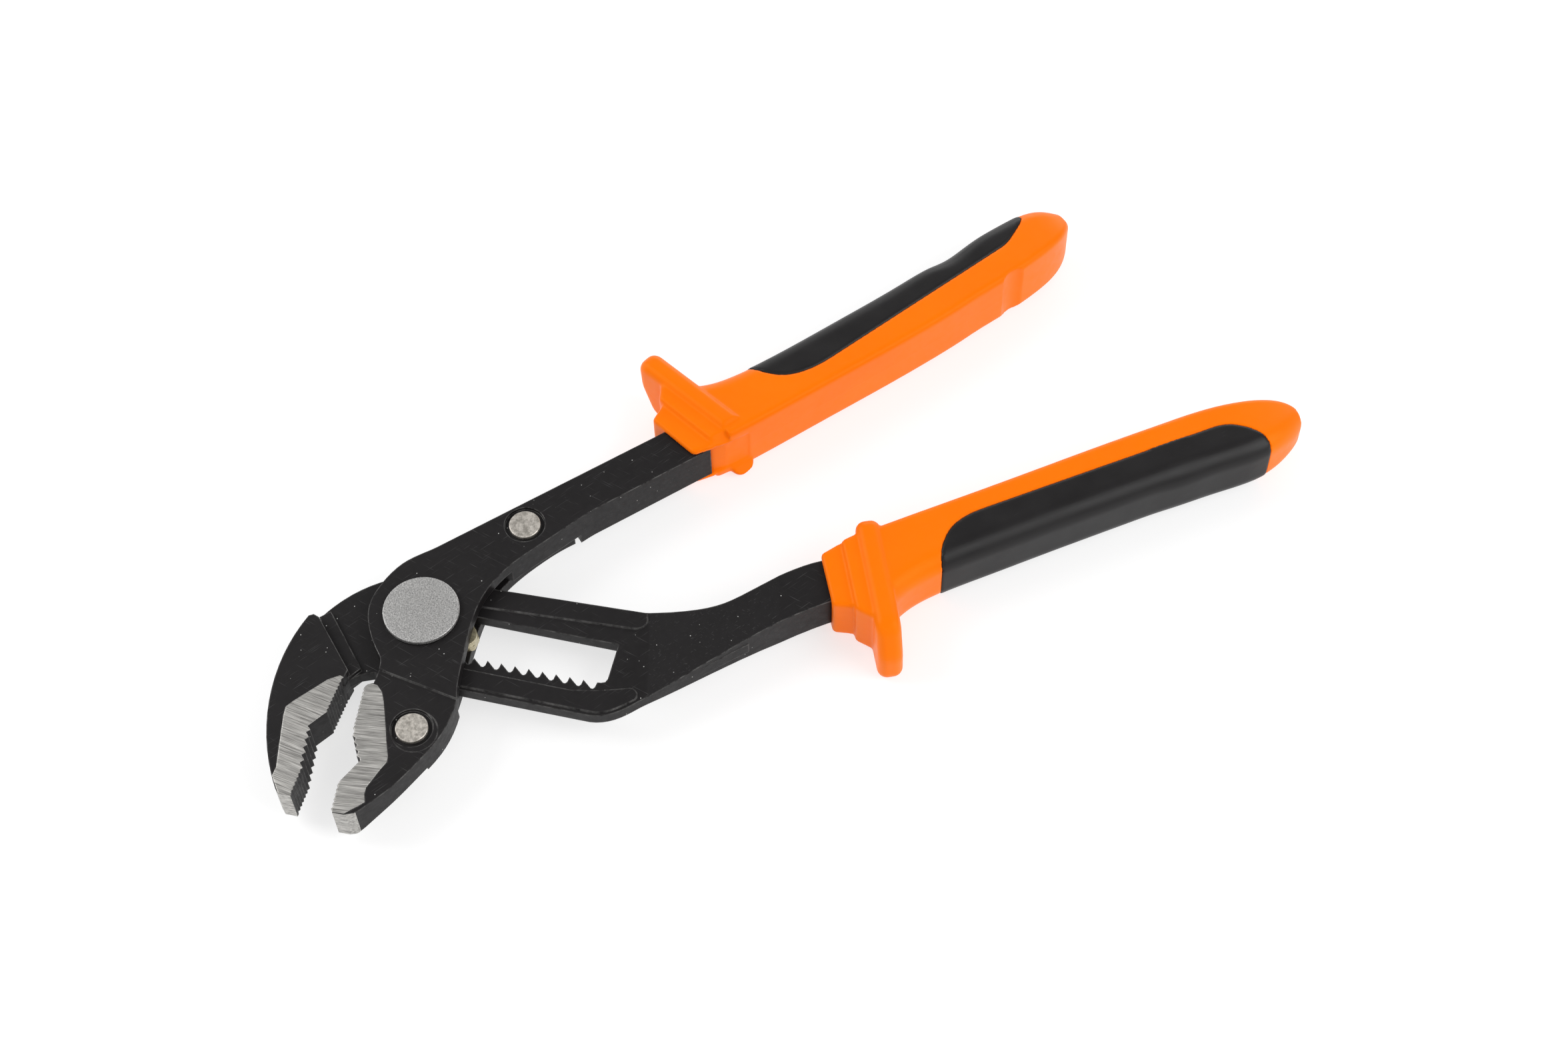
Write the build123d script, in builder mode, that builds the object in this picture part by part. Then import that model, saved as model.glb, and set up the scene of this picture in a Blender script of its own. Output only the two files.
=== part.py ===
from build123d import *
from math import cos, hypot, radians, sin
import os

os.makedirs("parts", exist_ok=True)

# Tongue and groove pliers, 250 mm long. X runs along the rack slot towards the handles, +Z is up.
# The origin is on the pivot axis, at the outer face of the rear pivot head.

# ---- driving dimensions, mm ----
MID = 6.1                 # middle plane above the rear pivot head's outer face
HEAD_R = 8.55             # pivot head radius
HEAD_T = 0.96             # pivot head thickness
BOLT_R = 3.6              # bolt shoulder in the front cheek
SHANK_R = 2.3             # bolt shank in the web and the rear cheek
RUN = 0.04                # radial running clearance
WASHER_R = 7.9
WASHER_T = 0.16

WEB_H = 1.5               # half thickness of the slotted web
PAD_H = 1.8               # the same over its guide pads
CHEEK_IN = 1.95           # inner face of each cheek, from the middle plane
CHEEK_OUT = 4.9           # outer face of each cheek
JAW_H = 4.6               # half thickness of the jaws
GROUND_H = 4.75           # the same over their ground faces
TANG_H = 4.5              # half thickness of the slotted lever's tang

PITCH = 3.14              # rack tooth pitch
CREST_X = 17.05           # a tooth crest
CREST_Y = -6.95
GULLET_Y = -8.7
SLOT_TOP = 3.4
SLOT_LEFT = -5.2
SLOT_RIGHT = 44.2

RIVET_R = 2.5
RIVET_HEAD_R = 3.6
BORE_R = 4.6              # counterbore round each rivet head
REAR_BORE_R = 3.95        # the same on the rear cheek, where the edge is near
BORE_D = 0.75
ARM_RIVET = (15.8, 27.5)
JAW_RIVET = (6.7, -28.4)

PAWL_PIVOT = (10.1, -1.75)
PAWL_PIN_R = 0.9
PAWL_LIFT = 14.0          # degrees between resting and engaged

UPPER_ANGLE = 47.0        # grip directions from X
LOWER_ANGLE = 35.5
UPPER_AT = (46.9, 60.2)   # grip reference points, near the mouths
LOWER_AT = (89.0, 31.4)
CORE_HALF_W = 3.8         # steel core inside each grip
CORE_H = 3.0
CORE_END = 88.0
INLAY_T = 1.8
FLANGE_START = (9.4, -9.0)  # ends of the guard's tall flange, along and across the grip
FLANGE_END = (1.8, 23.3)
FLANGE_T = 5.8
FLANGE_H = 8.6
MOUTH = [(-9, -14), (11.0, -14), (11.0, -6.6), (5.0, -6.3), (1.3, -5.0), (1.0, -4.2), (-9, -4.2)]

UP = (0, 0, 1)


# ---- helpers ----
def level(z):
    return Plane.XY.offset(MID + z)


def flat(points, z=0):
    """A closed polygon at height z from the middle plane."""
    with BuildSketch(level(z)) as sk:
        with BuildLine():
            Polyline(*points, close=True)
        make_face()
    return sk.sketch


def disc(r, at, z):
    with BuildSketch(level(z)) as sk:
        with Locations(at):
            Circle(r)
    return sk.sketch


def saw(start, end, count, depth, lean=0.62):
    """Saw teeth that start and end on the line; the gullets lie to the line's left."""
    dx = (end[0] - start[0]) / count
    dy = (end[1] - start[1]) / count
    size = hypot(dx, dy)
    nx = -dy / size * depth
    ny = dx / size * depth
    points = []
    for i in range(count):
        x = start[0] + i * dx
        y = start[1] + i * dy
        points.append((x, y))
        points.append((x + lean * dx + nx, y + lean * dy + ny))
    points.append(end)
    return points


def turned(points, centre, angle):
    """Points turned about a centre."""
    c = cos(radians(angle))
    s = sin(radians(angle))
    out = []
    for x, y in points:
        dx = x - centre[0]
        dy = y - centre[1]
        out.append((centre[0] + c * dx - s * dy, centre[1] + s * dx + c * dy))
    return out


def slot_outline():
    """The rack slot: sharp crests that face the jaws, flat gullets, one step at the end."""
    points = [(SLOT_LEFT, SLOT_TOP), (SLOT_LEFT, GULLET_Y + 0.6)]
    for k in range(-6, 9):
        x = CREST_X + k * PITCH
        points.append((x - 1.02, GULLET_Y))
        points.append((x - 0.55, GULLET_Y))
        points.append((x - 0.22, GULLET_Y + 0.4))
        points.append((x, CREST_Y))
    points.append((SLOT_RIGHT - 1.2, CREST_Y + 0.1))
    points.append((SLOT_RIGHT - 0.35, CREST_Y + 0.45))
    points.append((SLOT_RIGHT, CREST_Y + 1.3))
    points.append((SLOT_RIGHT, SLOT_TOP))
    return points


def ramp_plane():
    """Upright plane along which the slotted lever thickens towards its tang."""
    return Plane(origin=(0, 0, MID), x_dir=(0.974, 0.228, 0), z_dir=(0.228, -0.974, 0))


def grip_frame(at, angle, side):
    """Local frame of a grip: x along it, y towards its outer side."""
    along = (cos(radians(angle)), sin(radians(angle)), 0)
    return Plane(origin=(at[0], at[1], MID), x_dir=along, z_dir=(0, 0, side))


UPPER = grip_frame(UPPER_AT, UPPER_ANGLE, 1)
LOWER = grip_frame(LOWER_AT, LOWER_ANGLE, -1)


def grip_flat(frame, points):
    with BuildSketch(frame) as sk:
        with BuildLine():
            Polyline(*points, close=True)
        make_face()
    return sk.sketch


# ---- slotted lever: upper jaw, neck, web with the rack slot, curved arm and tang ----
jaw_teeth = (
    [(-13.4, -50.0)]
    + saw((-13.4, -49.4), (-13.15, -43.1), 6, 0.32)
    + saw((-13.1, -42.9), (-14.5, -33.7), 5, 0.85)
    + [(-15.4, -33.0)]
)
throat_teeth = saw((-12.4, -28.7), (-11.75, -19.9), 9, 0.32)

with BuildPart() as slotted_lever:
    with BuildSketch(level(-JAW_H)) as jaw_body:
        with BuildLine():
            Polyline((-11.4, -17.6), (-22.0, -6.1), (-23.4, -5.6), (-24.4, -6.2))
            Spline((-24.4, -6.2), (-26.6, -20.0), (-23.6, -36.6), (-17.2, -49.0))
            Polyline((-17.2, -49.0), (-16.2, -50.0), *jaw_teeth, *throat_teeth, (-11.4, -17.6))
        make_face()
    extrude(amount=2 * JAW_H)
    # bright ground faces stand a little proud on both sides
    ground = flat(
        [(-11.7, -19.7), (-12.6, -19.4), (-14.9, -21.0), (-20.5, -27.8), (-21.6, -29.4), (-21.4, -31.6),
         (-19.6, -40.0), (-18.7, -44.0), (-18.9, -46.2), (-16.2, -50.0), *jaw_teeth, *throat_teeth],
        -GROUND_H,
    )
    extrude(ground, amount=2 * GROUND_H, dir=UP)

    # web and neck
    with BuildSketch(level(-WEB_H)) as web:
        with BuildLine():
            Polyline((-22.6, -4.4), (-15.0, -24.0), (-11.9, -21.0), (-11.4, -18.6), (-9.3, -16.6),
                     (-6.5, -15.4), (41.0, -15.4))
            Spline((41.0, -15.4), (48.1, -13.4), (52.5, -9.4), (62.3, 0.1), (72.3, 9.7))
            Line((72.3, 9.7), (72.0, 23.9))
            Spline((72.0, 23.9), (64.7, 17.9), (53.1, 13.6), (48.6, 12.6), tangents=[(-1, -0.9), (-1, 0)])
            Polyline((48.6, 12.6), (17.0, 11.3), (0, 11.2), (-5.0, 10.8))
            Spline((-5.0, 10.8), (-11.7, 7.9), (-18.6, 1.8), (-22.6, -4.4))
        make_face()
    extrude(amount=2 * WEB_H)

    # neck fairing up to the thick jaw, behind the shoulder line
    fairing = flat([(-22.6, -5.0), (-20.6, -3.0), (-9.4, -15.6), (-11.4, -18.6), (-13.0, -18.0)], -2.6)
    extrude(fairing, amount=5.2, dir=UP)

    # arm and tang, thickening along the ramp
    with BuildSketch(level(-TANG_H)) as arm:
        with BuildLine():
            Polyline((47.2, 12.6), (47.2, -13.9))
            Spline((47.2, -13.9), (52.5, -9.4), (62.3, 0.1), (75.8, 13.2), (89.8, 24.1))
            Polyline((89.8, 24.1), (93.5, 26.7), (87.6, 35.7), (83.9, 33.1))
            Spline((83.9, 33.1), (74.1, 26.0), (69.1, 21.5), (64.7, 18.0), (58.5, 15.2), (47.2, 12.6))
        make_face()
    extrude(amount=2 * TANG_H)
    for side in (1, -1):
        with BuildSketch(ramp_plane()) as wedge:
            with BuildLine():
                Polyline((30, side * WEB_H), (50.5, side * WEB_H), (79.5, side * TANG_H),
                         (79.5, side * 8), (30, side * 8), close=True)
            make_face()
        extrude(amount=70, both=True, mode=Mode.SUBTRACT)

    # guide pads on both faces of the web
    with BuildSketch(level(-PAD_H)) as pads:
        with BuildLine():
            Polyline((-6.0, 5.0), (46.4, 8.05))
            ThreePointArc((46.4, 8.05), (48.3, 8.9), (49.0, 10.6))
            Polyline((49.0, 10.6), (48.4, 12.55), (17.0, 11.25), (-6.0, 10.4), (-6.0, 5.0))
        make_face()
        with BuildLine():
            Polyline((-4.0, -10.2), (37.0, -10.2), (43.0, -9.0), (49.0, -7.1))
            ThreePointArc((49.0, -7.1), (51.2, -7.5), (51.4, -9.4))
            Spline((51.4, -9.4), (48.0, -12.4), (42.6, -14.5), tangents=[(-0.7, -0.7), (-1, 0)])
            Polyline((42.6, -14.5), (-4.0, -14.6), (-4.0, -10.2))
        make_face()
    extrude(amount=2 * PAD_H)

    # steel core inside the lower grip
    extrude(grip_flat(LOWER, [(-6.0, -4.3), (-1.0, -4.3), (1.0, -CORE_HALF_W), (CORE_END, -CORE_HALF_W + 1),
                              (CORE_END, CORE_HALF_W - 1), (1.0, CORE_HALF_W), (-6.0, 5.0)]),
            amount=CORE_H, both=True)

    extrude(flat(slot_outline(), -3), amount=6, dir=UP, mode=Mode.SUBTRACT)

slotted_lever.part.label = "slotted_lever"
export_step(slotted_lever.part, "parts/slotted_lever.step")


# ---- main lever: lower jaw, front cheek and arm ----
with BuildPart() as main_lever:
    with BuildSketch(level(-CHEEK_OUT)) as cheek:
        with BuildLine():
            Line((42.8, 61.9), (-1.6, 17.5))
            Spline((-1.6, 17.5), (-7.4, 12.2), (-10.9, 5.6), (-12.0, 0.0), (-10.7, -5.4), (-6.2, -12.2),
                   (-4.7, -16.1), tangents=[(-1, -1), (0.1, -1)])
            Line((-4.7, -16.1), (14.2, -19.5))
            Spline((14.2, -19.5), (12.4, -9.0), (11.6, 0.0), (12.0, 6.6), (14.6, 14.2), (22.5, 25.3),
                   (29.7, 34.5), tangents=[(-0.35, 1), (0.68, 0.75)])
            Polyline((29.7, 34.5), (51.9, 57.0), (42.8, 61.9))
        make_face()
    extrude(amount=2 * CHEEK_OUT)

    # jaw body
    with BuildSketch(level(-JAW_H)) as jaw:
        with BuildLine():
            Polyline((-4.7, -15.9), (-4.8, -19.6), (-5.2, -19.7), (-6.3, -20.6),
                     *saw((-6.3, -20.8), (-5.3, -31.6), 10, -0.28),
                     *saw((-5.1, -32.0), (-1.9, -38.0), 4, -0.55),
                     (-1.6, -38.6), (-4.3, -44.3),
                     *saw((-4.3, -44.6), (-3.6, -51.4), 6, -0.3),
                     (-3.5, -51.75), (-0.9, -51.65), (1.0, -50.9), (2.1, -49.8))
            Spline((2.1, -49.8), (6.5, -43.8), (10.4, -36.4), (13.4, -28.9), (14.2, -24.0), (14.2, -19.3),
                   tangents=[(0.7, 1), (-0.05, 1)])
            Line((14.2, -19.3), (-4.7, -15.9))
        make_face()
    extrude(amount=2 * JAW_H)
    lj_ground = flat(
        [(-6.25, -20.9), (-6.0, -20.3), (-5.2, -19.8), (-3.8, -20.0), (-2.3, -21.4), (-1.3, -23.4),
         (0.2, -27.0), (2.5, -33.0), (3.9, -36.3), (4.1, -37.6), (3.0, -40.5), (1.7, -44.5), (1.8, -46.0),
         (2.5, -47.9), (1.2, -49.3), (-1.0, -51.4),
         (-3.5, -51.6), *reversed(saw((-4.3, -44.6), (-3.6, -51.4), 6, -0.3)),
         (-4.3, -44.3), (-1.6, -38.6),
         *reversed(saw((-5.1, -32.0), (-1.9, -38.0), 4, -0.55)),
         *reversed(saw((-6.3, -20.8), (-5.3, -31.6), 10, -0.28))],
        -GROUND_H,
    )
    extrude(lj_ground, amount=2 * GROUND_H, dir=UP)

    # outer back edge of the jaw is bevelled
    bevel_plane = Plane(origin=(6.9, -44.1, MID), x_dir=(0.91, -0.42, 0), z_dir=(-0.42, -0.91, 0))
    with BuildSketch(bevel_plane) as bevel:
        with BuildLine():
            Polyline((-3.0, -8.0), (-3.0, -4.75), (1.2, 0.5), (9.0, 0.5), (9.0, -8.0), close=True)
        make_face()
    extrude(amount=11, both=True, mode=Mode.SUBTRACT)

    # box joint that the web slides and turns in
    box = flat([(-20, 13.2), (-4, 13.5), (24.5, 17.6), (40, 17.6), (40, -20.4), (14.0, -20.2),
                (-4.0, -18.0), (-20, -18.0)], -CHEEK_IN)
    extrude(box, amount=2 * CHEEK_IN, dir=UP, mode=Mode.SUBTRACT)

    # seat for the rear cheek
    seat = flat([(16.4, 42.6), (29.2, 29.6), (34, 20), (34, -34.3), (-3.2, -34.3), (-6.0, -20.3),
                 (-30, -10), (-30, 34)], -12)
    extrude(seat, amount=12 - CHEEK_IN, dir=UP, mode=Mode.SUBTRACT)

    # steel core inside the upper grip
    extrude(grip_flat(UPPER, [(-9.0, -4.4), (-1.0, -4.6), (1.0, -CORE_HALF_W), (60.0, -CORE_HALF_W),
                              (CORE_END - 6, 0.6), (CORE_END - 6, 5.6), (60.0, CORE_HALF_W),
                              (1.0, CORE_HALF_W), (-1.0, 4.4), (-9.0, 4.4)]),
            amount=CORE_H, both=True)

    # pivot hole, rivet holes and their counterbores
    extrude(disc(BOLT_R + RUN, (0, 0), 0), amount=10, dir=UP, mode=Mode.SUBTRACT)
    for spot in (ARM_RIVET, JAW_RIVET):
        extrude(disc(RIVET_R, spot, -8), amount=16, dir=UP, mode=Mode.SUBTRACT)
    extrude(disc(BORE_R, ARM_RIVET, CHEEK_OUT - BORE_D), amount=3, dir=UP, mode=Mode.SUBTRACT)
    extrude(disc(BORE_R, JAW_RIVET, JAW_H - BORE_D), amount=3, dir=UP, mode=Mode.SUBTRACT)
    extrude(disc(5.0, (JAW_RIVET[0] + 0.9, JAW_RIVET[1] - 0.7), JAW_H - 0.16), amount=3, dir=UP,
            mode=Mode.SUBTRACT)

main_lever.part.label = "main_lever"
export_step(main_lever.part, "parts/main_lever.step")


# ---- rear cheek: the plate that closes the box joint from behind ----
with BuildPart() as rear_cheek:
    with BuildSketch(level(-CHEEK_OUT)) as plate:
        with BuildLine():
            Line((15.7, 34.8), (-1.6, 17.5))
            Spline((-1.6, 17.5), (-7.4, 12.2), (-10.9, 5.6), (-12.0, 0.0), (-10.7, -5.4), (-6.2, -12.2),
                   (-4.7, -16.1), tangents=[(-1, -1), (0.1, -1)])
            Polyline((-4.7, -16.1), (-4.7, -20.2), (-2.9, -33.6), (9.3, -33.6))
            Spline((9.3, -33.6), (12.0, -24.0), (12.6, -15.0), (12.2, -8.0), (11.9, 0.0), (12.1, 6.9),
                   (14.2, 14.7), (21.4, 26.0), (26.0, 31.0), tangents=[(0.3, 1), (0.72, 0.7)])
            Polyline((26.0, 31.0), (19.2, 38.3), (15.7, 34.8))
        make_face()
    extrude(amount=CHEEK_OUT - CHEEK_IN)
    extrude(disc(SHANK_R + RUN, (0, 0), -8), amount=8, dir=UP, mode=Mode.SUBTRACT)
    for spot in (ARM_RIVET, JAW_RIVET):
        extrude(disc(RIVET_R, spot, -8), amount=8, dir=UP, mode=Mode.SUBTRACT)
        extrude(disc(REAR_BORE_R, spot, -CHEEK_OUT), amount=BORE_D, dir=UP, mode=Mode.SUBTRACT)

rear_cheek.part.label = "rear_cheek"
export_step(rear_cheek.part, "parts/rear_cheek.step")


# ---- rivets: a flat head at each end, sitting in the counterbores ----
def rivet(spot, front):
    """front is the height of the face that the front head sits in."""
    with BuildPart() as body:
        extrude(disc(RIVET_R, spot, -CHEEK_OUT), amount=CHEEK_OUT + front, dir=UP)
        extrude(disc(RIVET_HEAD_R, spot, front - BORE_D), amount=BORE_D + 0.2, dir=UP)
        extrude(disc(RIVET_HEAD_R, spot, -CHEEK_OUT - 0.2), amount=BORE_D + 0.2, dir=UP)
        rims = body.edges().filter_by(GeomType.CIRCLE).sort_by(Axis.Z)
        chamfer([rims[0], rims[-1]], 0.18)
    return body.part


arm_rivet = rivet(ARM_RIVET, CHEEK_OUT)
arm_rivet.label = "arm_rivet"
export_step(arm_rivet, "parts/arm_rivet.step")

jaw_rivet = rivet(JAW_RIVET, JAW_H)
jaw_rivet.label = "jaw_rivet"
export_step(jaw_rivet, "parts/jaw_rivet.step")

# ---- pivot: headed bolt, riveted rear head and a washer under each ----
HEAD_AT = MID - HEAD_T    # underside of the front head
with BuildPart() as pivot_bolt:
    extrude(disc(HEAD_R, (0, 0), HEAD_AT), amount=HEAD_T, dir=UP)
    chamfer(pivot_bolt.edges().filter_by(GeomType.CIRCLE).sort_by(Axis.Z)[-1], 0.15)
    extrude(disc(BOLT_R, (0, 0), CHEEK_IN), amount=HEAD_AT - CHEEK_IN, dir=UP)
    extrude(disc(SHANK_R, (0, 0), -HEAD_AT - 0.5), amount=HEAD_AT + 0.5 + CHEEK_IN, dir=UP)
pivot_bolt.part.label = "pivot_bolt"
export_step(pivot_bolt.part, "parts/pivot_bolt.step")

with BuildPart() as pivot_rear_head:
    extrude(disc(HEAD_R, (0, 0), -MID), amount=HEAD_T, dir=UP)
    chamfer(pivot_rear_head.edges().filter_by(GeomType.CIRCLE).sort_by(Axis.Z)[0], 0.15)
    extrude(disc(SHANK_R, (0, 0), -HEAD_AT - 0.5), amount=0.5, dir=UP, mode=Mode.SUBTRACT)
pivot_rear_head.part.label = "pivot_rear_head"
export_step(pivot_rear_head.part, "parts/pivot_rear_head.step")

with BuildPart() as front_washer:
    extrude(disc(WASHER_R, (0, 0), CHEEK_OUT + 0.05), amount=WASHER_T, dir=UP)
    extrude(disc(BOLT_R, (0, 0), 0), amount=10, dir=UP, mode=Mode.SUBTRACT)
front_washer.part.label = "front_washer"
export_step(front_washer.part, "parts/front_washer.step")

with BuildPart() as rear_washer:
    extrude(disc(WASHER_R, (0, 0), -CHEEK_OUT - 0.05 - WASHER_T), amount=WASHER_T, dir=UP)
    extrude(disc(SHANK_R, (0, 0), -10), amount=10, dir=UP, mode=Mode.SUBTRACT)
rear_washer.part.label = "rear_washer"
export_step(rear_washer.part, "parts/rear_washer.step")

# ---- slide block: rides in the slot on the bolt and carries the pawl ----
BLOCK_H = 1.75            # half thickness of the block between the cheeks
with BuildPart() as slide_block:
    extrude(flat([(-4.7, 3.2), (-4.7, -3.3), (6.4, -3.3), (6.4, 3.2)], -BLOCK_H),
            amount=2 * BLOCK_H, dir=UP)
    # thin lug under the pawl's hub
    extrude(flat([(5.0, 3.2), (5.0, -2.6), (7.6, -4.3), (10.1, -4.65), (12.6, -3.2), (12.9, -0.6),
                  (11.0, 1.9), (8.6, 3.2)], -BLOCK_H), amount=BLOCK_H - 0.05, dir=UP)
    extrude(disc(SHANK_R, (0, 0), -8), amount=16, dir=UP, mode=Mode.SUBTRACT)
    extrude(disc(PAWL_PIN_R, PAWL_PIVOT, -8), amount=16, dir=UP, mode=Mode.SUBTRACT)
    # pocket for the pawl's spring
    extrude(flat([(5.4, 0.7), (5.4, 2.5), (6.5, 2.5), (6.5, 0.7)], 0.05), amount=1.7, dir=UP,
            mode=Mode.SUBTRACT)
slide_block.part.label = "slide_block"
export_step(slide_block.part, "parts/slide_block.step")

with BuildPart() as pawl_pin:
    extrude(disc(PAWL_PIN_R, PAWL_PIVOT, -BLOCK_H), amount=2 * BLOCK_H, dir=UP)
pawl_pin.part.label = "pawl_pin"
export_step(pawl_pin.part, "parts/pawl_pin.step")

# ---- pawl: drawn in mesh with the rack, then turned back to its lifted rest ----
TOOTH_AT = CREST_X - 6 * PITCH      # rack crest just left of the pawl's first tooth
pawl_teeth = [(TOOTH_AT - 0.9, CREST_Y + 0.55)]
for k in range(2):
    x = TOOTH_AT + k * PITCH
    pawl_teeth.append((x + 0.12, CREST_Y + 0.12))
    pawl_teeth.append((x + PITCH - 0.95, GULLET_Y + 0.16))
    pawl_teeth.append((x + PITCH - 0.62, GULLET_Y + 0.16))
    pawl_teeth.append((x + PITCH - 0.2, CREST_Y + 0.1))
engaged = pawl_teeth + [(TOOTH_AT + 2 * PITCH + 0.2, CREST_Y + 0.3), (8.2, -4.9), (8.4, -3.0), (6.9, -3.2),
                        (6.0, -5.0), (-1.0, -5.9), (TOOTH_AT - 0.9, -5.9)]
with BuildPart() as pawl:
    extrude(flat(turned(engaged, PAWL_PIVOT, -PAWL_LIFT), -BLOCK_H), amount=2 * BLOCK_H, dir=UP)
    extrude(disc(2.75, PAWL_PIVOT, 0.05), amount=BLOCK_H - 0.05, dir=UP)
    # heel that the spring pushes on
    extrude(flat([(8.9, -1.0), (8.9, 2.3), (10.6, 2.3), (11.8, 0.0)], 0.05), amount=BLOCK_H - 0.05, dir=UP)
    extrude(flat([(-6, 4), (-6, -3.45), (6.55, -3.45), (6.55, 0.8), (6.55, 4)], -3), amount=6, dir=UP,
            mode=Mode.SUBTRACT)
    extrude(flat([(6.2, -4.0), (7.4, -4.75), (10.1, -4.95), (14, -4.6), (14, 4), (6.2, 4)], -3),
            amount=3.05, dir=UP, mode=Mode.SUBTRACT)
    extrude(disc(PAWL_PIN_R + RUN, PAWL_PIVOT, -8), amount=16, dir=UP, mode=Mode.SUBTRACT)
pawl.part.label = "pawl"
export_step(pawl.part, "parts/pawl.step")

# ---- pawl spring: a small coil between the block and the pawl's heel ----
with BuildPart() as pawl_spring:
    with BuildLine() as coil:
        Helix(pitch=0.5, height=3.2, radius=0.6, center=(5.55, 1.55, MID + 0.9), direction=(1, 0, 0))
    with BuildSketch(Plane(origin=coil.line @ 0, z_dir=coil.line % 0)):
        Circle(0.11)
    sweep()
pawl_spring.part.label = "pawl_spring"
export_step(pawl_spring.part, "parts/pawl_spring.step")

# ---- grips: hard shell with a stepped finger guard, soft inlay round the outer side ----
# stations along each grip: distance, inner side, outer side, half height
UPPER_BODY = [(6, -6.7, 12.6, 7.8), (16, -6.9, 9.0, 7.8), (26, -6.9, 8.4, 7.8), (38, -6.9, 8.4, 7.8),
              (50, -6.9, 8.6, 7.8), (62, -6.7, 8.9, 7.8), (74, -6.1, 9.2, 7.8), (86, -5.4, 9.9, 7.8),
              (94, -4.7, 10.4, 7.8), (100, -3.8, 10.4, 7.7), (105, -2.4, 9.6, 7.3), (108.4, -0.5, 7.9, 6.4),
              (110, 1.0, 6.3, 5.4)]
LOWER_BODY = [(6, -6.6, 13.0, 7.8), (16, -6.6, 9.2, 7.8), (28, -6.7, 8.5, 7.8), (40, -6.8, 8.3, 7.8),
              (52, -7.0, 8.1, 7.8), (64, -7.2, 8.0, 7.8), (76, -7.3, 8.0, 7.8), (88, -7.3, 8.3, 7.8),
              (96, -6.9, 8.6, 7.8), (103, -5.9, 8.4, 7.6), (108.6, -4.6, 7.0, 6.9), (112.8, -2.7, 4.9, 5.8),
              (114.6, -1.1, 3.2, 4.8)]


def grip_body(frame, stations, inset=0.0):
    """Loft along the grip; the inner side is boxy and the outer side is rounded."""
    sections = []
    for u, v_in, v_out, half in stations:
        width = v_out - v_in - 2 * inset
        height = 2 * (half - inset)
        start = frame.from_local_coords(Vector(u, 0, 0))
        with BuildSketch(Plane(origin=start, x_dir=frame.y_dir, z_dir=frame.x_dir)) as sk:
            with Locations(((v_in + v_out) / 2, 0)):
                Rectangle(width, height)
            inner = sk.vertices().group_by(Axis.X)[0]
            fillet(inner, 1.5 - inset / 3)
            outer = sk.vertices().group_by(Axis.X)[-1]
            fillet(outer, min(4.4 - inset, width * 0.55, height * 0.42))
        sections.append(sk.sketch)
    with BuildPart() as body:
        for sk in sections:
            add(sk)
        loft()
    return body.part


def side_profile(frame, points, start, length):
    """Prism along the grip from an outline in the plane across it, (outwards, up)."""
    origin = frame.from_local_coords(Vector(start, 0, 0))
    with BuildSketch(Plane(origin=origin, x_dir=frame.y_dir, z_dir=frame.x_dir)) as sk:
        with BuildLine():
            Polyline(*points, close=True)
        make_face()
    return extrude(sk.sketch, amount=length)


def flange(frame):
    """Tall slanted paddle with a fully rounded rim; its free end is cut back on one side."""
    run = FLANGE_END[0] - FLANGE_START[0], FLANGE_END[1] - FLANGE_START[1]
    length = hypot(*run)
    origin = frame.from_local_coords(Vector(*FLANGE_START, 0))
    across = frame.x_dir * (run[0] / length) + frame.y_dir * (run[1] / length)
    normal = across.cross(frame.z_dir)
    with BuildPart() as body:
        with BuildSketch(Plane(origin=origin, x_dir=across, z_dir=normal)) as outline:
            with BuildLine():
                FilletPolyline((0, -FLANGE_H), (0, FLANGE_H), (length + 0.5, FLANGE_H), (length, 0),
                               (length - 3.8, -FLANGE_H), radius=[2.6, 2.6, 3.0, 8.0, 4.5], close=True)
            make_face()
        extrude(amount=FLANGE_T / 2, both=True)
        rims = body.faces().filter_by(lambda f: abs(f.normal_at().dot(normal)) > 0.99)
        fillet(rims.edges(), 2.2)
    return body.part


def guard(frame):
    """Lip, middle ridge and tall flange; each stands higher than the last."""
    lip = [(-3.3, -5.3), (3.0, -6.6), (-1.0, 11.2), (-3.0, 9.8), (-6.0, 8.2)]
    middle = [(2.1, -6.3), (8.6, -7.0), (3.0, 16.0), (0.6, 14.9), (-1.9, 11.6)]
    with BuildPart() as body:
        for outline, half, edge in ((lip, 6.3, 1.1), (middle, 7.4, 1.2)):
            with BuildPart(mode=Mode.PRIVATE) as plate:
                extrude(grip_flat(frame, outline), amount=half, both=True)
                fillet(plate.edges().filter_by(Axis.Z), edge)
                tops = plate.faces().filter_by(Axis.Z)
                fillet(tops.edges(), min(edge - 0.2, 1.0))
            add(plate.part)
    # the ridges end in a slope on one face and run flush with the inner wall
    trim = [(-2.4, 9.4), (-6.9, 4.9), (-6.9, -5.4), (-9.2, -7.4), (-12, -7.4), (-12, 9.4)]
    slope = side_profile(frame, trim, -12, 26)
    return (body.part + flange(frame)) - slope


def inlay_zone(frame, drift, end):
    """Plan shape of the soft inlay; drift shifts its far end outwards, end is where it stops."""
    with BuildSketch(frame) as sk:
        with BuildLine():
            Line((37.0, -1.3), (end - 10, -1.2 + drift))
            Spline((end - 10, -1.2 + drift), (end - 4, 1.0 + drift), (end - 0.4, 5.4 + drift * 0.5),
                   (end - 0.4, 14.0), tangents=[(1, 0.06), (-0.05, 1)])
            Polyline((end - 0.4, 14.0), (20.2, 14.0), (20.6, 8.0))
            Spline((20.6, 8.0), (22.8, 3.8), (27.0, 0.2), (31.0, -1.0), (37.0, -1.3),
                   tangents=[(0.25, -1), (1, 0)])
        make_face()
    return sk.sketch


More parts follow.
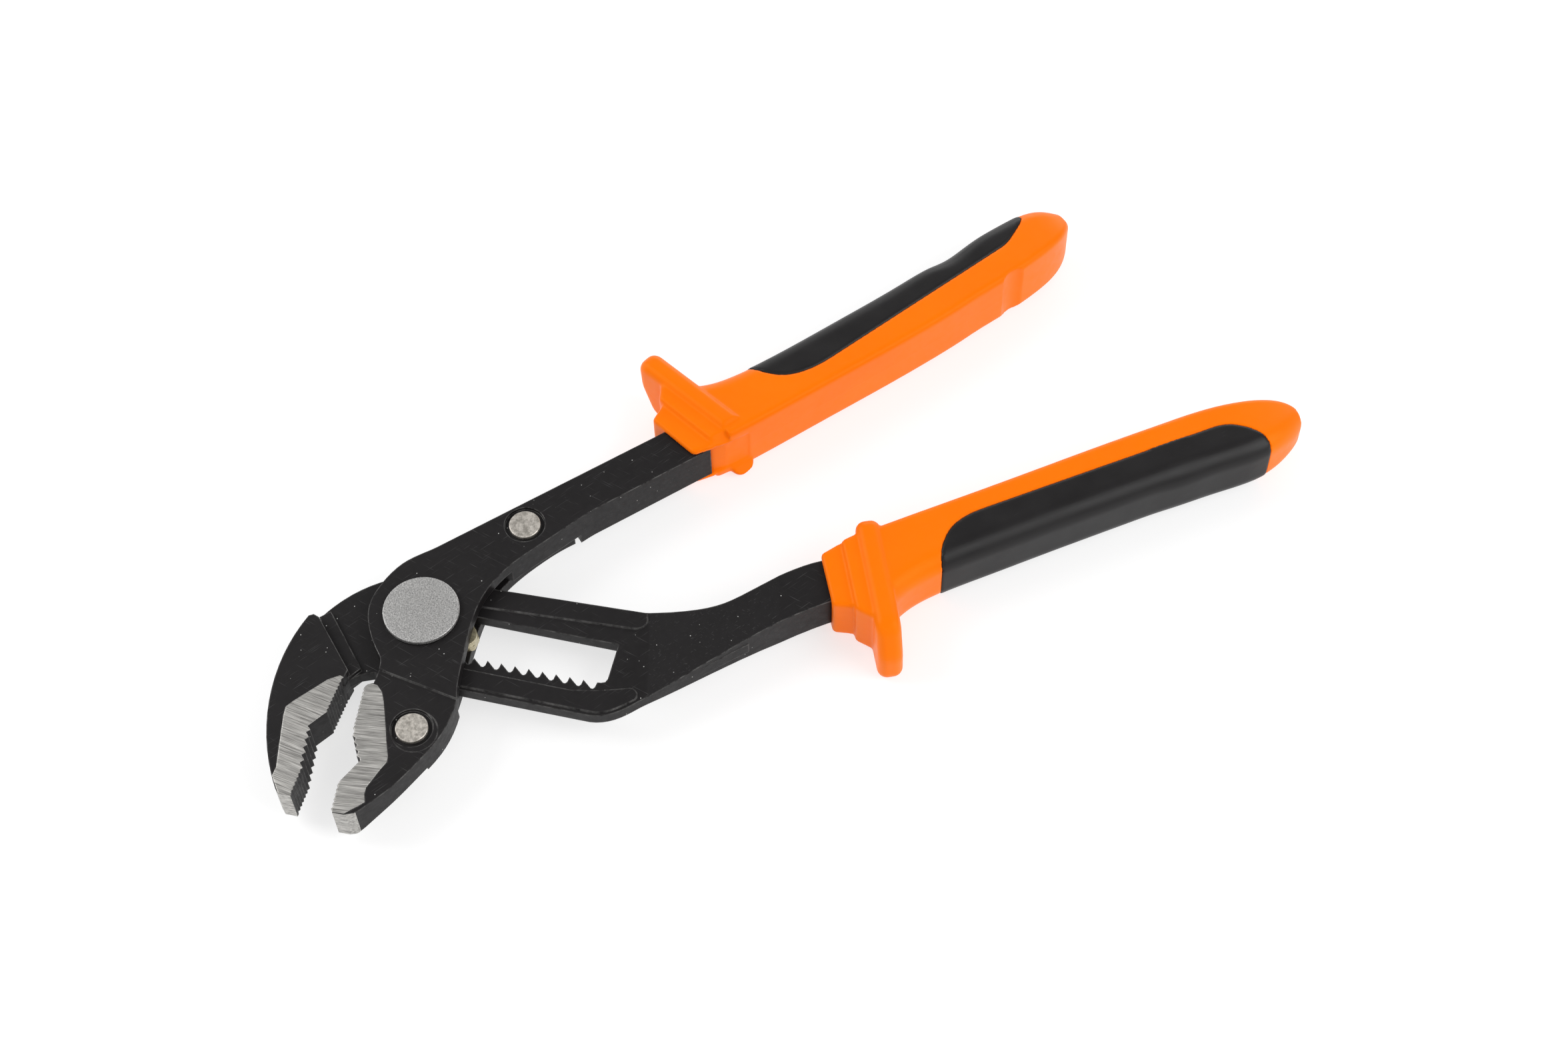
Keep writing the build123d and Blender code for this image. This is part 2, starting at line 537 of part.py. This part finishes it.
def grip(frame, stations, zone, core, scoop=None):
    """Returns the shell and the inlay of one grip; zone is the inlay's plan shape, and a scoop
    is a shallow upright hollow in the shell."""
    outer = grip_body(frame, stations)
    inner = grip_body(frame, stations[:-1], INLAY_T)
    soft = extrude(zone, amount=20, both=True)
    inlay = (outer & soft) - inner
    shell = outer + guard(frame)
    shell = shell - (soft - inner)
    if scoop is not None:
        shell = shell - extrude(scoop, amount=20, both=True)
    mouth = extrude(grip_flat(frame, MOUTH), amount=4.8, both=True)
    shell = shell - mouth - core
    return shell, inlay


with BuildSketch(UPPER) as hollow:
    with Locations((89.0, -10.3)):
        Circle(6.0)

upper_shell, upper_inlay = grip(UPPER, UPPER_BODY, inlay_zone(UPPER, 4.2, 100.5), main_lever.part,
                                 hollow.sketch)
lower_shell, lower_inlay = grip(LOWER, LOWER_BODY, inlay_zone(LOWER, 0.0, 103.5), slotted_lever.part)

for body, name in ((upper_shell, "upper_grip_shell"), (upper_inlay, "upper_grip_inlay"),
                   (lower_shell, "lower_grip_shell"), (lower_inlay, "lower_grip_inlay")):
    body.label = name
    export_step(body, "parts/" + name + ".step")
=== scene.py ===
"""Looks of the tongue and groove pliers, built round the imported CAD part."""

import math

import bpy
from mathutils import Matrix, Vector


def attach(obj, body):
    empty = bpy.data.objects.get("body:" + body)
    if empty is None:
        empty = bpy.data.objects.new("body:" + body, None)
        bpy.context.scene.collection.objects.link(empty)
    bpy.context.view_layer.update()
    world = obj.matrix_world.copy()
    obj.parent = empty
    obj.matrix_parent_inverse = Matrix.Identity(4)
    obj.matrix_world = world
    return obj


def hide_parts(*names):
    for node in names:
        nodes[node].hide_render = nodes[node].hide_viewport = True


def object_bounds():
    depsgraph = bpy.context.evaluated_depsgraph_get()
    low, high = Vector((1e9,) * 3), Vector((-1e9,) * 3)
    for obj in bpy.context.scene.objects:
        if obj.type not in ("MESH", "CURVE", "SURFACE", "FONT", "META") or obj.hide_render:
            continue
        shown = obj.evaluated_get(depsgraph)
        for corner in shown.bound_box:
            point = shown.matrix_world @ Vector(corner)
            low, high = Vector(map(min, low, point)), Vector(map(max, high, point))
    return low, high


MM = 0.001
MID_Z = 6.1 * MM          # middle plane of the tool

# ground jaw faces, mm and degrees
FACE_RISE = 4.68          # least height of a ground face over the middle plane
FACE_TOP = 4.80           # most height of a ground face over the middle plane
SLOTTED_TIP_Y = -48.8     # the blunt jaw tips below these are ground too
MAIN_TIP_Y = -50.6
SLOTTED_GRINDING = -10    # direction of the grinding marks
MAIN_GRINDING = 7

# colours, linear
FORGED_DARK = (0.0066, 0.0058, 0.0061, 1)
FORGED_LIGHT = (0.0115, 0.0102, 0.0107, 1)
SCRATCH_GREY = (0.20, 0.20, 0.20, 1)
WORN_STEEL = (0.20, 0.196, 0.19, 1)
SPECK_WHITE = (0.62, 0.62, 0.60, 1)
GROUND_DARK = (0.17, 0.165, 0.156, 1)
GROUND_LIGHT = (0.66, 0.645, 0.615, 1)
HEAD_DARK = (0.26, 0.258, 0.254, 1)
HEAD_LIGHT = (0.62, 0.612, 0.60, 1)
HEAD_STAIN = (0.30, 0.295, 0.285, 1)
NICKEL_DARK = (0.38, 0.355, 0.315, 1)
NICKEL_LIGHT = (0.66, 0.62, 0.565, 1)
ORANGE_DEEP = (0.92, 0.163, 0.0012, 1)
ORANGE_BRIGHT = (0.97, 0.190, 0.0022, 1)
# painted shade for the grips' grooves and inner corners
ORANGE_PAINTED_SHADE = (0.80, 0.085, 0.0006, 1)
ORANGE_SCUFF = (1.0, 0.42, 0.16, 1)
ORANGE_GLOSS = (1.0, 0.42, 0.10, 1)
RUBBER_DARK = (0.0075, 0.0067, 0.0070, 1)
RUBBER_LIGHT = (0.0125, 0.0114, 0.0118, 1)
LINT_GREY = (0.22, 0.22, 0.22, 1)
FLOOR_DARK = (0.41, 0.41, 0.41, 1)
FLOOR_LIGHT = (0.43, 0.43, 0.43, 1)

# pivot head, mm
STAIN_R = 8.0             # the mottled middle fades out at this radius
STAIN_CORE_R = 2.0        # and is full inside this one

# moulded grips
VOXEL = 0.34 * MM
INLAY_PROUD = 0.17 * MM   # how far an inlay stands out of its CAD solid
SHELL_PASSES = 5          # smoothing passes
INLAY_PASSES = 4
GUARD_END = 12.0          # along the grip, mm: the softened guard ends here
GUARD_FADE = 6.0          # and the softness fades over this length
TIP_START = 105.0         # the softened tip starts here
TIP_FADE = 4.0
LEAST_SOFT = 0.35         # softness between guard and tip
UPPER_GRIP_AT = (46.9, 60.2)
UPPER_GRIP_ANGLE = 47.0
LOWER_GRIP_AT = (89.0, 31.4)
LOWER_GRIP_ANGLE = 35.5

# stage
FLOOR_REACH = 3.0         # half the floor's side, m
SKY_STRENGTH = 0.42

# camera, mm and degrees
CAMERA_AZIMUTH = 14.43
CAMERA_ELEVATION = 56.39
CAMERA_ROLL = -1.48
CAMERA_AIM = (72.32, 44.07, 6.1)
CAMERA_DISTANCE = 595.5
CAMERA_LENS = 59.69

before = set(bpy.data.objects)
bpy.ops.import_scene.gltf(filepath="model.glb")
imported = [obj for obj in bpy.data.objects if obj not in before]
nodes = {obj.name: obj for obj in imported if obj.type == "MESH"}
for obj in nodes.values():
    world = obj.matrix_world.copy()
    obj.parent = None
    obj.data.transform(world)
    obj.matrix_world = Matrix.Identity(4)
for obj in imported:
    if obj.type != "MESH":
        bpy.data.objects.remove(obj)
cad_lo, cad_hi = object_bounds()


# ---- node helpers ----
class Shader:
    """A material under construction."""

    def __init__(self, name):
        self.material = bpy.data.materials.new(name)
        self.material.use_nodes = True
        self.tree = self.material.node_tree
        self.bsdf = self.tree.nodes["Principled BSDF"]
        self.coords = self.add("ShaderNodeTexCoord")
        self.place = self.coords.outputs["Object"]
        self.facing = self.coords.outputs["Normal"]

    def add(self, kind, inputs=None, **settings):
        """New node with its settings, and its inputs fed by name."""
        made = self.tree.nodes.new(kind)
        for key, value in settings.items():
            setattr(made, key, value)
        for key, value in (inputs or {}).items():
            self.feed(made.inputs[key], value)
        return made

    def feed(self, socket, value):
        """Links a socket to value, or writes a constant on it."""
        if isinstance(value, bpy.types.NodeSocket):
            self.tree.links.new(value, socket)
        else:
            socket.default_value = value

    def math(self, operation, a, b=0.0, c=0.0, clamp=False):
        made = self.add("ShaderNodeMath", operation=operation, use_clamp=clamp)
        for socket, value in zip(made.inputs, (a, b, c)):
            self.feed(socket, value)
        return made.outputs[0]

    def noise(self, size, detail=2.0, rough=0.5, vector=None, distortion=0.0):
        """Noise whose features are about size mm across, or size grains of a stretched vector."""
        made = self.add("ShaderNodeTexNoise", {
            "Vector": vector or self.place, "Scale": 1 / size if vector else 1 / (size * MM),
            "Detail": detail, "Roughness": rough, "Distortion": distortion})
        return made.outputs["Fac"]

    def ramp(self, value, low, high, out_low=0.0, out_high=1.0):
        """Straight map of low to high onto out_low to out_high, kept between them."""
        made = self.add("ShaderNodeMapRange", {
            "Value": value, "From Min": low, "From Max": high, "To Min": out_low, "To Max": out_high})
        return made.outputs["Result"]

    def mix(self, factor, a, b):
        """Colour between a and b."""
        made = self.add("ShaderNodeMix", data_type="RGBA")
        self.feed(made.inputs[0], factor)
        self.feed(made.inputs[6], a)
        self.feed(made.inputs[7], b)
        return made.outputs[2]

    def blend(self, factor, a, b):
        """Number between a and b."""
        made = self.add("ShaderNodeMix", data_type="FLOAT")
        self.feed(made.inputs[0], factor)
        self.feed(made.inputs[2], a)
        self.feed(made.inputs[3], b)
        return made.outputs[0]

    def stretched(self, angle, along, across):
        """Coordinates turned about Z and divided by the grain's length and width, both in mm."""
        turn = self.add("ShaderNodeMapping", {
            "Vector": self.place, "Rotation": (0, 0, math.radians(-angle))})
        size = self.add("ShaderNodeMapping", {
            "Vector": turn.outputs[0],
            "Scale": (1 / (along * MM), 1 / (across * MM), 1 / (across * MM))})
        return size.outputs[0]

    def bump(self, height, strength, distance, normal=None):
        """Normal tilted by the height; distance is in mm."""
        made = self.add("ShaderNodeBump", {
            "Height": height, "Strength": strength, "Distance": distance * MM})
        if normal is not None:
            self.feed(made.inputs["Normal"], normal)
        return made.outputs["Normal"]

    def soft_edge(self, radius):
        """Normal that rounds the edges; radius is in mm."""
        return self.add("ShaderNodeBevel", {"Radius": radius * MM}, samples=6).outputs["Normal"]

    def edge(self, radius, low, high):
        """1 on sharp edges, 0 on flat stretches."""
        soft = self.soft_edge(radius)
        true = self.add("ShaderNodeNewGeometry").outputs["Normal"]
        dot = self.add("ShaderNodeVectorMath", operation="DOT_PRODUCT")
        self.feed(dot.inputs[0], soft)
        self.feed(dot.inputs[1], true)
        return self.ramp(dot.outputs["Value"], 1 - low, 1 - high)

    def painted_shade_mask(self, reach, low, high):
        """Mask for painted shade: 1 deep in grooves and inner corners, 0 in the open; reach is in mm."""
        made = self.add("ShaderNodeAmbientOcclusion", {"Distance": reach * MM}, samples=8)
        return self.ramp(made.outputs["AO"], high, low)

    def finish(self, **values):
        """Sets the surface's sockets from values, and gives the material."""
        names = {"color": "Base Color", "metallic": "Metallic", "roughness": "Roughness",
                 "normal": "Normal", "specular": "Specular IOR Level", "subsurface": "Subsurface Weight",
                 "subsurface_scale": "Subsurface Scale", "subsurface_radius": "Subsurface Radius",
                 "tint": "Specular Tint", "glow": "Emission Color", "glow_strength": "Emission Strength"}
        for key, value in values.items():
            self.feed(self.bsdf.inputs[names[key]], value)
        return self.material


# ---- materials ----
def black_steel(name, grinding=None, tip_y=None):
    """Satin black forging with worn edges, specks and fine scratches. Where grinding is given, the jaw
    faces and the tip below tip_y mm are ground bare, with marks in that direction, in degrees."""
    s = Shader(name)
    blotch = s.noise(9.0, detail=4.0)
    grain = s.noise(0.32, detail=3.0, rough=0.6)
    color = s.mix(blotch, FORGED_DARK, FORGED_LIGHT)
    # light specks
    cells = s.add("ShaderNodeTexVoronoi", {"Vector": s.place, "Scale": 1 / (1.35 * MM)})
    dot = s.ramp(cells.outputs["Distance"], 0.115, 0.06)
    chance = s.add("ShaderNodeSeparateColor", {"Color": cells.outputs["Color"]}).outputs[0]
    pick = s.ramp(chance, 0.82, 0.86)
    speck = s.math("MULTIPLY", dot, pick, clamp=True)
    # fine scratches in two directions
    scratch = s.ramp(s.noise(1.0, detail=1.0, vector=s.stretched(52, 7.0, 0.12)), 0.70, 0.79)
    cross = s.ramp(s.noise(1.0, detail=1.0, vector=s.stretched(-18, 6.0, 0.12)), 0.71, 0.80)
    lines = s.math("MAXIMUM", scratch, cross)
    worn = s.edge(0.50, 0.012, 0.10)
    patchy = s.ramp(s.noise(2.6, detail=5.0, rough=0.65), 0.36, 0.66)
    wear = s.math("MULTIPLY", worn, patchy, clamp=True)
    color = s.mix(s.math("MULTIPLY", lines, 0.30), color, SCRATCH_GREY)
    color = s.mix(s.math("MULTIPLY", wear, 0.8), color, WORN_STEEL)
    color = s.mix(s.math("MULTIPLY", speck, 0.8), color, SPECK_WHITE)
    rough = s.ramp(s.noise(1.6, detail=5.0, rough=0.6), 0.3, 0.7, 0.40, 0.54)
    metal = s.math("MULTIPLY", wear, 0.55)
    peel = s.math("ADD", grain, s.math("MULTIPLY", s.noise(1.5, detail=2.0), 1.4))
    height = s.math("SUBTRACT", peel, s.math("MULTIPLY", lines, 0.5))
    if grinding is not None:
        at = s.add("ShaderNodeSeparateXYZ", {"Vector": s.place})
        facing = s.add("ShaderNodeSeparateXYZ", {"Vector": s.facing})
        rise = s.math("ABSOLUTE", s.math("SUBTRACT", at.outputs["Z"], MID_Z))
        up = s.math("ABSOLUTE", facing.outputs["Z"])
        above = s.math("GREATER_THAN", rise, FACE_RISE * MM)
        below = s.math("LESS_THAN", rise, FACE_TOP * MM)
        level = s.math("GREATER_THAN", up, 0.8)
        bare = s.math("MULTIPLY", s.math("MULTIPLY", above, below), level)
        end = s.math("MULTIPLY", s.math("LESS_THAN", at.outputs["Y"], tip_y * MM),
                     s.math("LESS_THAN", facing.outputs["Y"], -0.45))
        bare = s.math("MAXIMUM", bare, end)
        # grinding marks run one way, each at its own depth
        marks = s.noise(1.0, detail=3.0, rough=0.7, vector=s.stretched(grinding, 7.0, 0.17))
        wide = s.noise(1.0, detail=2.0, vector=s.stretched(grinding, 12.0, 0.45))
        tone = s.math("ADD", s.math("MULTIPLY", marks, 0.75), s.math("MULTIPLY", wide, 0.25))
        bright = s.mix(s.ramp(tone, 0.36, 0.64), GROUND_DARK, GROUND_LIGHT)
        color = s.mix(bare, color, bright)
        rough = s.blend(bare, rough, s.ramp(marks, 0.3, 0.7, 0.34, 0.52))
        metal = s.math("MAXIMUM", metal, s.math("MULTIPLY", bare, 0.9))
        height = s.blend(bare, height, s.math("MULTIPLY", marks, 2.4))
    normal = s.bump(height, 0.35, 0.035, s.soft_edge(0.36))
    return s.finish(color=color, roughness=rough, metallic=metal, normal=normal, specular=0.22)


def pivot_steel(name):
    """Bright head with a fine even grain and a duller, mottled middle."""
    s = Shader(name)
    grain = s.noise(0.34, detail=3.0, rough=0.7)
    mottle = s.noise(1.5, detail=6.0, rough=0.72)
    at = s.add("ShaderNodeSeparateXYZ", {"Vector": s.place})
    away = s.math("SQRT", s.math("ADD", s.math("POWER", at.outputs["X"], 2.0),
                                 s.math("POWER", at.outputs["Y"], 2.0)))
    middle = s.ramp(away, STAIN_R * MM, STAIN_CORE_R * MM)
    stain = s.math("MULTIPLY", middle, s.ramp(mottle, 0.42, 0.62), clamp=True)
    color = s.mix(s.ramp(grain, 0.36, 0.64), HEAD_DARK, HEAD_LIGHT)
    color = s.mix(s.math("MULTIPLY", stain, 0.45), color, HEAD_STAIN)
    rough = s.ramp(mottle, 0.3, 0.7, 0.42, 0.56)
    normal = s.bump(grain, 0.5, 0.02, s.soft_edge(0.18))
    return s.finish(color=color, roughness=rough, metallic=0.85, normal=normal)


def nickel(name):
    """Warm plating with shallow dents and rubbed marks."""
    s = Shader(name)
    dents = s.noise(0.9, detail=5.0, rough=0.66)
    grain = s.noise(0.2, detail=2.0)
    color = s.mix(s.ramp(dents, 0.38, 0.62), NICKEL_DARK, NICKEL_LIGHT)
    rough = s.ramp(dents, 0.3, 0.7, 0.36, 0.52)
    height = s.math("ADD", s.math("MULTIPLY", dents, 2.0), grain)
    normal = s.bump(height, 0.5, 0.035, s.soft_edge(0.2))
    return s.finish(color=color, roughness=rough, metallic=0.85, normal=normal)


def plain_steel(name, dark, light, roughness, size=0.4):
    """Machined small part: fine grain over a slow tint."""
    s = Shader(name)
    grain = s.noise(size, detail=4.0, rough=0.65)
    color = s.mix(s.ramp(grain, 0.35, 0.65), (*dark, 1), (*light, 1))
    rough = s.ramp(s.noise(2.0, detail=3.0), 0.3, 0.7, roughness - 0.07, roughness + 0.09)
    normal = s.bump(grain, 0.4, 0.02, s.soft_edge(0.1))
    return s.finish(color=color, roughness=rough, metallic=0.9, normal=normal)


def orange_plastic(name):
    """Hard satin plastic: fine moulded grain, slow tint, painted shade deep in grooves and inner
    corners, a faint parting line at the middle plane.
    """
    s = Shader(name)
    tint = s.noise(16.0, detail=3.0)
    grain = s.noise(0.22, detail=2.0, rough=0.55)
    color = s.mix(tint, ORANGE_DEEP, ORANGE_BRIGHT)
    # painted shade: the orange is darkened deep in grooves and inner corners, found by ambient occlusion
    color = s.mix(s.math("MULTIPLY", s.painted_shade_mask(3.0, 0.35, 0.95), 0.6), color, ORANGE_PAINTED_SHADE)
    scuff = s.ramp(s.noise(1.0, detail=2.0, vector=s.stretched(40, 5.0, 0.14)), 0.72, 0.80)
    color = s.mix(s.math("MULTIPLY", scuff, 0.12), color, ORANGE_SCUFF)
    z = s.add("ShaderNodeSeparateXYZ", {"Vector": s.place}).outputs["Z"]
    line = s.ramp(s.math("ABSOLUTE", s.math("SUBTRACT", z, MID_Z)), 0.14 * MM, 0.04 * MM)
    rough = s.ramp(s.noise(2.2, detail=4.0, rough=0.6), 0.3, 0.7, 0.33, 0.44)
    height = s.math("ADD", s.math("MULTIPLY", grain, 0.5), s.math("MULTIPLY", line, 1.2))
    normal = s.bump(height, 0.35, 0.03)
    return s.finish(color=color, roughness=rough, normal=normal, specular=0.3,
                    tint=ORANGE_GLOSS, subsurface=0.05,
                    subsurface_radius=(1.0, 0.3, 0.08), subsurface_scale=1.2 * MM)


def black_rubber(name):
    """Soft skin with a fine matt grain and slight rubbed patches."""
    s = Shader(name)
    grain = s.noise(0.2, detail=2.0, rough=0.6)
    patch = s.noise(7.0, detail=4.0)
    color = s.mix(patch, RUBBER_DARK, RUBBER_LIGHT)
    lint = s.ramp(s.noise(1.0, detail=1.0, vector=s.stretched(44, 3.2, 0.10)), 0.77, 0.82)
    color = s.mix(s.math("MULTIPLY", lint, 0.10), color, LINT_GREY)
    rough = s.ramp(patch, 0.3, 0.7, 0.36, 0.46)
    normal = s.bump(grain, 0.4, 0.03)
    return s.finish(color=color, roughness=rough, normal=normal, specular=0.26)


slotted = black_steel("slotted_lever_steel", grinding=SLOTTED_GRINDING, tip_y=SLOTTED_TIP_Y)
main = black_steel("main_lever_steel", grinding=MAIN_GRINDING, tip_y=MAIN_TIP_Y)
cheek = black_steel("rear_cheek_steel")
pivot = pivot_steel("pivot_head_steel")
rivets = nickel("rivet_nickel")
zinc = plain_steel("zinc_plate", (0.42, 0.37, 0.24), (0.66, 0.60, 0.42), 0.36)
washer = plain_steel("washer_steel", (0.20, 0.20, 0.205), (0.36, 0.36, 0.37), 0.34)
pin = plain_steel("pin_steel", (0.38, 0.38, 0.39), (0.56, 0.56, 0.57), 0.28)
wire = plain_steel("spring_steel", (0.26, 0.26, 0.27), (0.46, 0.46, 0.48), 0.30, size=0.12)
orange = orange_plastic("grip_orange")
black = black_rubber("grip_black")

looks = {
    "slotted_lever": slotted,
    "main_lever": main,
    "rear_cheek": cheek,
    "arm_rivet": rivets,
    "jaw_rivet": rivets,
    "pivot_bolt": pivot,
    "pivot_rear_head": pivot,
    "front_washer": washer,
    "rear_washer": washer,
    "slide_block": zinc,
    "pawl": zinc,
    "pawl_pin": pin,
    "pawl_spring": wire,
    "upper_grip_shell": orange,
    "lower_grip_shell": orange,
    "upper_grip_inlay": black,
    "lower_grip_inlay": black,
}


# ---- moulded grips ----
def world_mesh(source, name, build):
    """New object whose mesh is source's mesh after the modifiers that build adds."""
    mesh = source.data.copy()
    made = bpy.data.objects.new(name, mesh)
    bpy.context.collection.objects.link(made)
    build(made)
    bpy.context.view_layer.update()
    done = bpy.data.meshes.new_from_object(made.evaluated_get(bpy.context.evaluated_depsgraph_get()))
    made.modifiers.clear()
    made.data = done
    done.name = name
    bpy.data.meshes.remove(mesh)
    return made


def moulded(name, look, body, softness, passes, proud=0.0):
    """Replaces a grip node by a mesh with a moulding's soft corners; softness(point) is 0 to 1."""
    def to_voxels(made):
        step = made.modifiers.new("voxels", "REMESH")
        step.mode = "VOXEL"
        step.voxel_size = VOXEL

    def to_smooth(made):
        step = made.modifiers.new("soften", "SMOOTH")
        step.factor = 0.5
        step.iterations = passes
        step.vertex_group = "soft"
        grow = made.modifiers.new("swell", "DISPLACE")
        grow.strength = proud
        grow.mid_level = 0.0

    rough = world_mesh(nodes[name], name + "_voxels", to_voxels)
    group = rough.vertex_groups.new(name="soft")
    for vertex in rough.data.vertices:
        group.add([vertex.index], softness(vertex.co), "REPLACE")
    made = world_mesh(rough, name + "_moulded", to_smooth)
    bpy.data.objects.remove(rough)
    made.data.materials.clear()
    made.data.materials.append(look)
    made.data.shade_smooth()
    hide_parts(name)
    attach(made, body)


def shell_softness(at, angle):
    """Soft at the guard and at the tip, nearly crisp between."""
    along = Vector((math.cos(math.radians(angle)), math.sin(math.radians(angle)), 0))
    start = Vector((at[0], at[1], 0)) * MM

    def softness(point):
        u = (point - start).dot(along) / MM
        near = min(max((GUARD_END + GUARD_FADE - u) / GUARD_FADE, 0), 1)
        far = min(max((u - TIP_START) / TIP_FADE, 0), 1)
        return max(near, far, LEAST_SOFT)
    return softness


def grip_pieces(side, at, angle, lever):
    """One grip's shell and inlay; the grip starts at at, in mm, and runs at angle, in degrees."""
    moulded(side + "_grip_shell", orange, lever, shell_softness(at, angle), SHELL_PASSES)
    moulded(side + "_grip_inlay", black, lever, lambda point: 1.0, INLAY_PASSES,
            proud=INLAY_PROUD)


grip_pieces("upper", UPPER_GRIP_AT, UPPER_GRIP_ANGLE, "main_lever")
grip_pieces("lower", LOWER_GRIP_AT, LOWER_GRIP_ANGLE, "slotted_lever")

for name, look in looks.items():
    slots = nodes[name].material_slots
    if not slots:
        nodes[name].data.materials.append(look)
    for slot in slots:
        slot.material = look


# ---- stage ----
def pale_floor():
    z = cad_lo.z - 0.05 * MM
    mesh = bpy.data.meshes.new("floor")
    corners = [(x * FLOOR_REACH, y * FLOOR_REACH, z) for x, y in ((-1, -1), (1, -1), (1, 1), (-1, 1))]
    mesh.from_pydata(corners, [], [(0, 1, 2, 3)])
    floor = bpy.data.objects.new("floor", mesh)
    bpy.context.collection.objects.link(floor)
    s = Shader("pale_floor")
    tone = s.noise(220.0, detail=2.0)
    s.finish(color=s.mix(tone, FLOOR_DARK, FLOOR_LIGHT), roughness=0.85, specular=0.1,
             glow=(1, 1, 1, 1), glow_strength=0.66)
    mesh.materials.append(s.material)


def soft_light(name, place, aim, width, depth, watts):
    data = bpy.data.lights.new(name, "AREA")
    data.shape = "RECTANGLE"
    data.size = width
    data.size_y = depth
    data.energy = watts
    light = bpy.data.objects.new(name, data)
    light.location = place
    light.rotation_euler = (Vector(aim) - Vector(place)).to_track_quat("-Z", "Y").to_euler()
    bpy.context.collection.objects.link(light)


def studio():
    world = bpy.data.worlds.new("studio")
    world.use_nodes = True
    sky = world.node_tree.nodes["Background"]
    sky.inputs["Color"].default_value = (1, 1, 1, 1)
    sky.inputs["Strength"].default_value = SKY_STRENGTH
    bpy.context.scene.world = world
    middle = (0.07, 0.04, 0.0)
    soft_light("left", (-0.95, 0.10, 0.75), middle, 0.8, 0.9, 9.0)
    soft_light("right", (1.00, -0.10, 0.70), middle, 0.8, 0.9, 8.0)
    soft_light("front", (0.15, -0.95, 0.55), middle, 1.0, 0.6, 2.0)
    soft_light("back", (0.10, 1.10, 0.30), middle, 1.0, 0.35, 3.0)


def camera():
    """Seen from above at 56 degrees, a little to the right, with a hand-held roll."""
    azimuth = math.radians(CAMERA_AZIMUTH)
    elevation = math.radians(CAMERA_ELEVATION)
    roll = math.radians(CAMERA_ROLL)
    aim = Vector(CAMERA_AIM) * MM
    distance = CAMERA_DISTANCE * MM
    back = Vector((math.sin(azimuth) * math.cos(elevation), -math.cos(azimuth) * math.cos(elevation),
                   math.sin(elevation)))
    data = bpy.data.cameras.new("camera")
    data.sensor_width = 36.0
    data.lens = CAMERA_LENS
    data.clip_start = 0.01
    made = bpy.data.objects.new("camera", data)
    turn = (-back).to_track_quat("-Z", "Y").to_matrix() @ Matrix.Rotation(roll, 3, "Z")
    made.matrix_world = Matrix.Translation(aim + back * distance) @ turn.to_4x4()
    bpy.context.collection.objects.link(made)
    bpy.context.scene.camera = made


pale_floor()
studio()
camera()
bpy.context.scene.view_settings.view_transform = "Standard"
